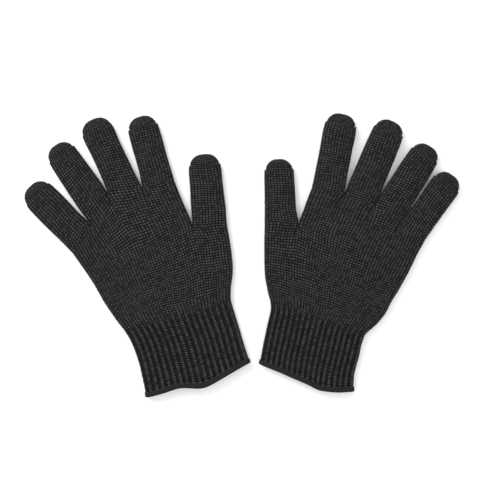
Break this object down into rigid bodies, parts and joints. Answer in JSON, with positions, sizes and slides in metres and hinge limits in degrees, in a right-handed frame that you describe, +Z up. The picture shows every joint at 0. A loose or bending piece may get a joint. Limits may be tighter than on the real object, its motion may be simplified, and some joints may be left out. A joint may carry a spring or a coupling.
{
  "type": "pair of knitted cut-resistant gloves",
  "caption": "Pair of black seamless-knit cut-resistant work gloves laid flat with palms up, with fingers that fold at their joints and ribbed elastic cuffs.",
  "frame": {"origin": "on the surface that the gloves lie on, in the middle of the pair", "axes": "+X from the right-hand glove to the left-hand glove, +Y towards the fingertips, +Z up, out of the palms"},
  "size_m": [0.3675, 0.2404, 0.01],
  "materials": {
    "knit": "seamless plain knit of steel-cored black yarn",
    "rib_knit": "one-by-one rib knit of the same yarn",
    "elastic": "covered rubber thread",
    "hem_thread": "black overlock thread"
  },
  "bodies": {
    "right_palm": {"right_upper_palm": "knit", "right_lower_palm": "knit"},
    "right_cuff": {"right_cuff": "rib_knit", "right_cuff_elastic": "elastic", "right_hem": "hem_thread"},
    "right_thumb_proximal": {"right_thumb_proximal": "knit"},
    "right_thumb_tip": {"right_thumb_tip": "knit"},
    "right_index_proximal": {"right_index_proximal": "knit"},
    "right_index_middle": {"right_index_middle": "knit"},
    "right_index_tip": {"right_index_tip": "knit"},
    "right_middle_proximal": {"right_middle_proximal": "knit"},
    "right_middle_middle": {"right_middle_middle": "knit"},
    "right_middle_tip": {"right_middle_tip": "knit"},
    "right_ring_proximal": {"right_ring_proximal": "knit"},
    "right_ring_middle": {"right_ring_middle": "knit"},
    "right_ring_tip": {"right_ring_tip": "knit"},
    "right_little_proximal": {"right_little_proximal": "knit"},
    "right_little_middle": {"right_little_middle": "knit"},
    "right_little_tip": {"right_little_tip": "knit"},
    "left_palm": {"left_upper_palm": "knit", "left_lower_palm": "knit"},
    "left_cuff": {"left_cuff": "rib_knit", "left_cuff_elastic": "elastic", "left_hem": "hem_thread"},
    "left_thumb_proximal": {"left_thumb_proximal": "knit"},
    "left_thumb_tip": {"left_thumb_tip": "knit"},
    "left_index_proximal": {"left_index_proximal": "knit"},
    "left_index_middle": {"left_index_middle": "knit"},
    "left_index_tip": {"left_index_tip": "knit"},
    "left_middle_proximal": {"left_middle_proximal": "knit"},
    "left_middle_middle": {"left_middle_middle": "knit"},
    "left_middle_tip": {"left_middle_tip": "knit"},
    "left_ring_proximal": {"left_ring_proximal": "knit"},
    "left_ring_middle": {"left_ring_middle": "knit"},
    "left_ring_tip": {"left_ring_tip": "knit"},
    "left_little_proximal": {"left_little_proximal": "knit"},
    "left_little_middle": {"left_little_middle": "knit"},
    "left_little_tip": {"left_little_tip": "knit"}
  },
  "joints": [
    {"name": "right_wrist", "type": "hinge", "parent": "right_palm", "child": "right_cuff", "pos_m": [-0.05473, -0.04965, 0.0048], "axis": [-0.9629, -0.2699, 0], "range_deg": [0, 70]},
    {"name": "right_thumb_root", "type": "hinge", "parent": "right_palm", "child": "right_thumb_proximal", "pos_m": [-0.02808, 0.03458, 0.0048], "axis": [0.9962, 0.0872, 0], "range_deg": [0, 50]},
    {"name": "right_thumb_mid_joint", "type": "hinge", "parent": "right_thumb_proximal", "child": "right_thumb_tip", "pos_m": [-0.0303, 0.05992, 0.0048], "axis": [0.9962, 0.0872, 0], "range_deg": [0, 70]},
    {"name": "right_index_root", "type": "hinge", "parent": "right_palm", "child": "right_index_proximal", "pos_m": [-0.07274, 0.06788, 0.0048], "axis": [0.9219, 0.3875, 0], "range_deg": [0, 80]},
    {"name": "right_index_mid_joint", "type": "hinge", "parent": "right_index_proximal", "child": "right_index_middle", "pos_m": [-0.07773, 0.08573, 0.0048], "axis": [0.9219, 0.3875, 0], "range_deg": [0, 90]},
    {"name": "right_index_end_joint", "type": "hinge", "parent": "right_index_middle", "child": "right_index_tip", "pos_m": [-0.08209, 0.10134, 0.0048], "axis": [0.9219, 0.3875, 0], "range_deg": [0, 60]},
    {"name": "right_middle_root", "type": "hinge", "parent": "right_palm", "child": "right_middle_proximal", "pos_m": [-0.10442, 0.06647, 0.0048], "axis": [0.8874, 0.461, 0], "range_deg": [0, 80]},
    {"name": "right_middle_mid_joint", "type": "hinge", "parent": "right_middle_proximal", "child": "right_middle_middle", "pos_m": [-0.11255, 0.08397, 0.0048], "axis": [0.8874, 0.461, 0], "range_deg": [0, 90]},
    {"name": "right_middle_end_joint", "type": "hinge", "parent": "right_middle_middle", "child": "right_middle_tip", "pos_m": [-0.11966, 0.09928, 0.0048], "axis": [0.8874, 0.461, 0], "range_deg": [0, 60]},
    {"name": "right_ring_root", "type": "hinge", "parent": "right_palm", "child": "right_ring_proximal", "pos_m": [-0.12949, 0.05169, 0.0048], "axis": [0.8448, 0.5351, 0], "range_deg": [0, 80]},
    {"name": "right_ring_mid_joint", "type": "hinge", "parent": "right_ring_proximal", "child": "right_ring_middle", "pos_m": [-0.13983, 0.06663, 0.0048], "axis": [0.8448, 0.5351, 0], "range_deg": [0, 90]},
    {"name": "right_ring_end_joint", "type": "hinge", "parent": "right_ring_middle", "child": "right_ring_tip", "pos_m": [-0.14889, 0.07971, 0.0048], "axis": [0.8448, 0.5351, 0], "range_deg": [0, 60]},
    {"name": "right_little_root", "type": "hinge", "parent": "right_palm", "child": "right_little_proximal", "pos_m": [-0.14502, 0.0233, 0.0048], "axis": [0.7955, 0.606, 0], "range_deg": [0, 80]},
    {"name": "right_little_mid_joint", "type": "hinge", "parent": "right_little_proximal", "child": "right_little_middle", "pos_m": [-0.15749, 0.03594, 0.0048], "axis": [0.7955, 0.606, 0], "range_deg": [0, 90]},
    {"name": "right_little_end_joint", "type": "hinge", "parent": "right_little_middle", "child": "right_little_tip", "pos_m": [-0.1684, 0.04701, 0.0048], "axis": [0.7955, 0.606, 0], "range_deg": [0, 60]},
    {"name": "left_glove_apart", "type": "slide", "parent": "right_palm", "child": "left_palm", "axis": [1, 0, 0], "range_m": [0, 0.1]},
    {"name": "left_wrist", "type": "hinge", "parent": "left_palm", "child": "left_cuff", "pos_m": [0.06522, -0.0533, 0.0048], "axis": [-0.9475, 0.3197, 0], "range_deg": [0, 70]},
    {"name": "left_thumb_root", "type": "hinge", "parent": "left_palm", "child": "left_thumb_proximal", "pos_m": [0.03267, 0.03482, 0.0048], "axis": [0.9994, 0.0349, 0], "range_deg": [0, 50]},
    {"name": "left_thumb_mid_joint", "type": "hinge", "parent": "left_thumb_proximal", "child": "left_thumb_tip", "pos_m": [0.03186, 0.05791, 0.0048], "axis": [0.9994, 0.0349, 0], "range_deg": [0, 70]},
    {"name": "left_index_root", "type": "hinge", "parent": "left_palm", "child": "left_index_proximal", "pos_m": [0.07417, 0.06174, 0.0048], "axis": [0.9497, -0.3132, 0], "range_deg": [0, 80]},
    {"name": "left_index_mid_joint", "type": "hinge", "parent": "left_index_proximal", "child": "left_index_middle", "pos_m": [0.07823, 0.08266, 0.0048], "axis": [0.9497, -0.3132, 0], "range_deg": [0, 90]},
    {"name": "left_index_end_joint", "type": "hinge", "parent": "left_index_middle", "child": "left_index_tip", "pos_m": [0.08179, 0.10097, 0.0048], "axis": [0.9497, -0.3132, 0], "range_deg": [0, 60]},
    {"name": "left_middle_root", "type": "hinge", "parent": "left_palm", "child": "left_middle_proximal", "pos_m": [0.10231, 0.05349, 0.0048], "axis": [0.9121, -0.4099, 0], "range_deg": [0, 80]},
    {"name": "left_middle_mid_joint", "type": "hinge", "parent": "left_middle_proximal", "child": "left_middle_middle", "pos_m": [0.11145, 0.07512, 0.0048], "axis": [0.9121, -0.4099, 0], "range_deg": [0, 90]},
    {"name": "left_middle_end_joint", "type": "hinge", "parent": "left_middle_middle", "child": "left_middle_tip", "pos_m": [0.11945, 0.09406, 0.0048], "axis": [0.9121, -0.4099, 0], "range_deg": [0, 60]},
    {"name": "left_ring_root", "type": "hinge", "parent": "left_palm", "child": "left_ring_proximal", "pos_m": [0.12921, 0.04494, 0.0048], "axis": [0.875, -0.484, 0], "range_deg": [0, 80]},
    {"name": "left_ring_mid_joint", "type": "hinge", "parent": "left_ring_proximal", "child": "left_ring_middle", "pos_m": [0.14008, 0.06207, 0.0048], "axis": [0.875, -0.484, 0], "range_deg": [0, 90]},
    {"name": "left_ring_end_joint", "type": "hinge", "parent": "left_ring_middle", "child": "left_ring_tip", "pos_m": [0.14959, 0.07706, 0.0048], "axis": [0.875, -0.484, 0], "range_deg": [0, 60]},
    {"name": "left_little_root", "type": "hinge", "parent": "left_palm", "child": "left_little_proximal", "pos_m": [0.15089, 0.02906, 0.0048], "axis": [0.8621, -0.5068, 0], "range_deg": [0, 80]},
    {"name": "left_little_mid_joint", "type": "hinge", "parent": "left_little_proximal", "child": "left_little_middle", "pos_m": [0.16085, 0.04307, 0.0048], "axis": [0.8621, -0.5068, 0], "range_deg": [0, 90]},
    {"name": "left_little_end_joint", "type": "hinge", "parent": "left_little_middle", "child": "left_little_tip", "pos_m": [0.16956, 0.05533, 0.0048], "axis": [0.8621, -0.5068, 0], "range_deg": [0, 60]}
  ],
  "couplings": [
    {"joint": "right_index_end_joint", "follows": "right_index_mid_joint", "ratio": 0.66667},
    {"joint": "right_middle_end_joint", "follows": "right_middle_mid_joint", "ratio": 0.66667},
    {"joint": "right_ring_end_joint", "follows": "right_ring_mid_joint", "ratio": 0.66667},
    {"joint": "right_little_end_joint", "follows": "right_little_mid_joint", "ratio": 0.66667},
    {"joint": "left_index_end_joint", "follows": "left_index_mid_joint", "ratio": 0.66667},
    {"joint": "left_middle_end_joint", "follows": "left_middle_mid_joint", "ratio": 0.66667},
    {"joint": "left_ring_end_joint", "follows": "left_ring_mid_joint", "ratio": 0.66667},
    {"joint": "left_little_end_joint", "follows": "left_little_mid_joint", "ratio": 0.66667}
  ]
}
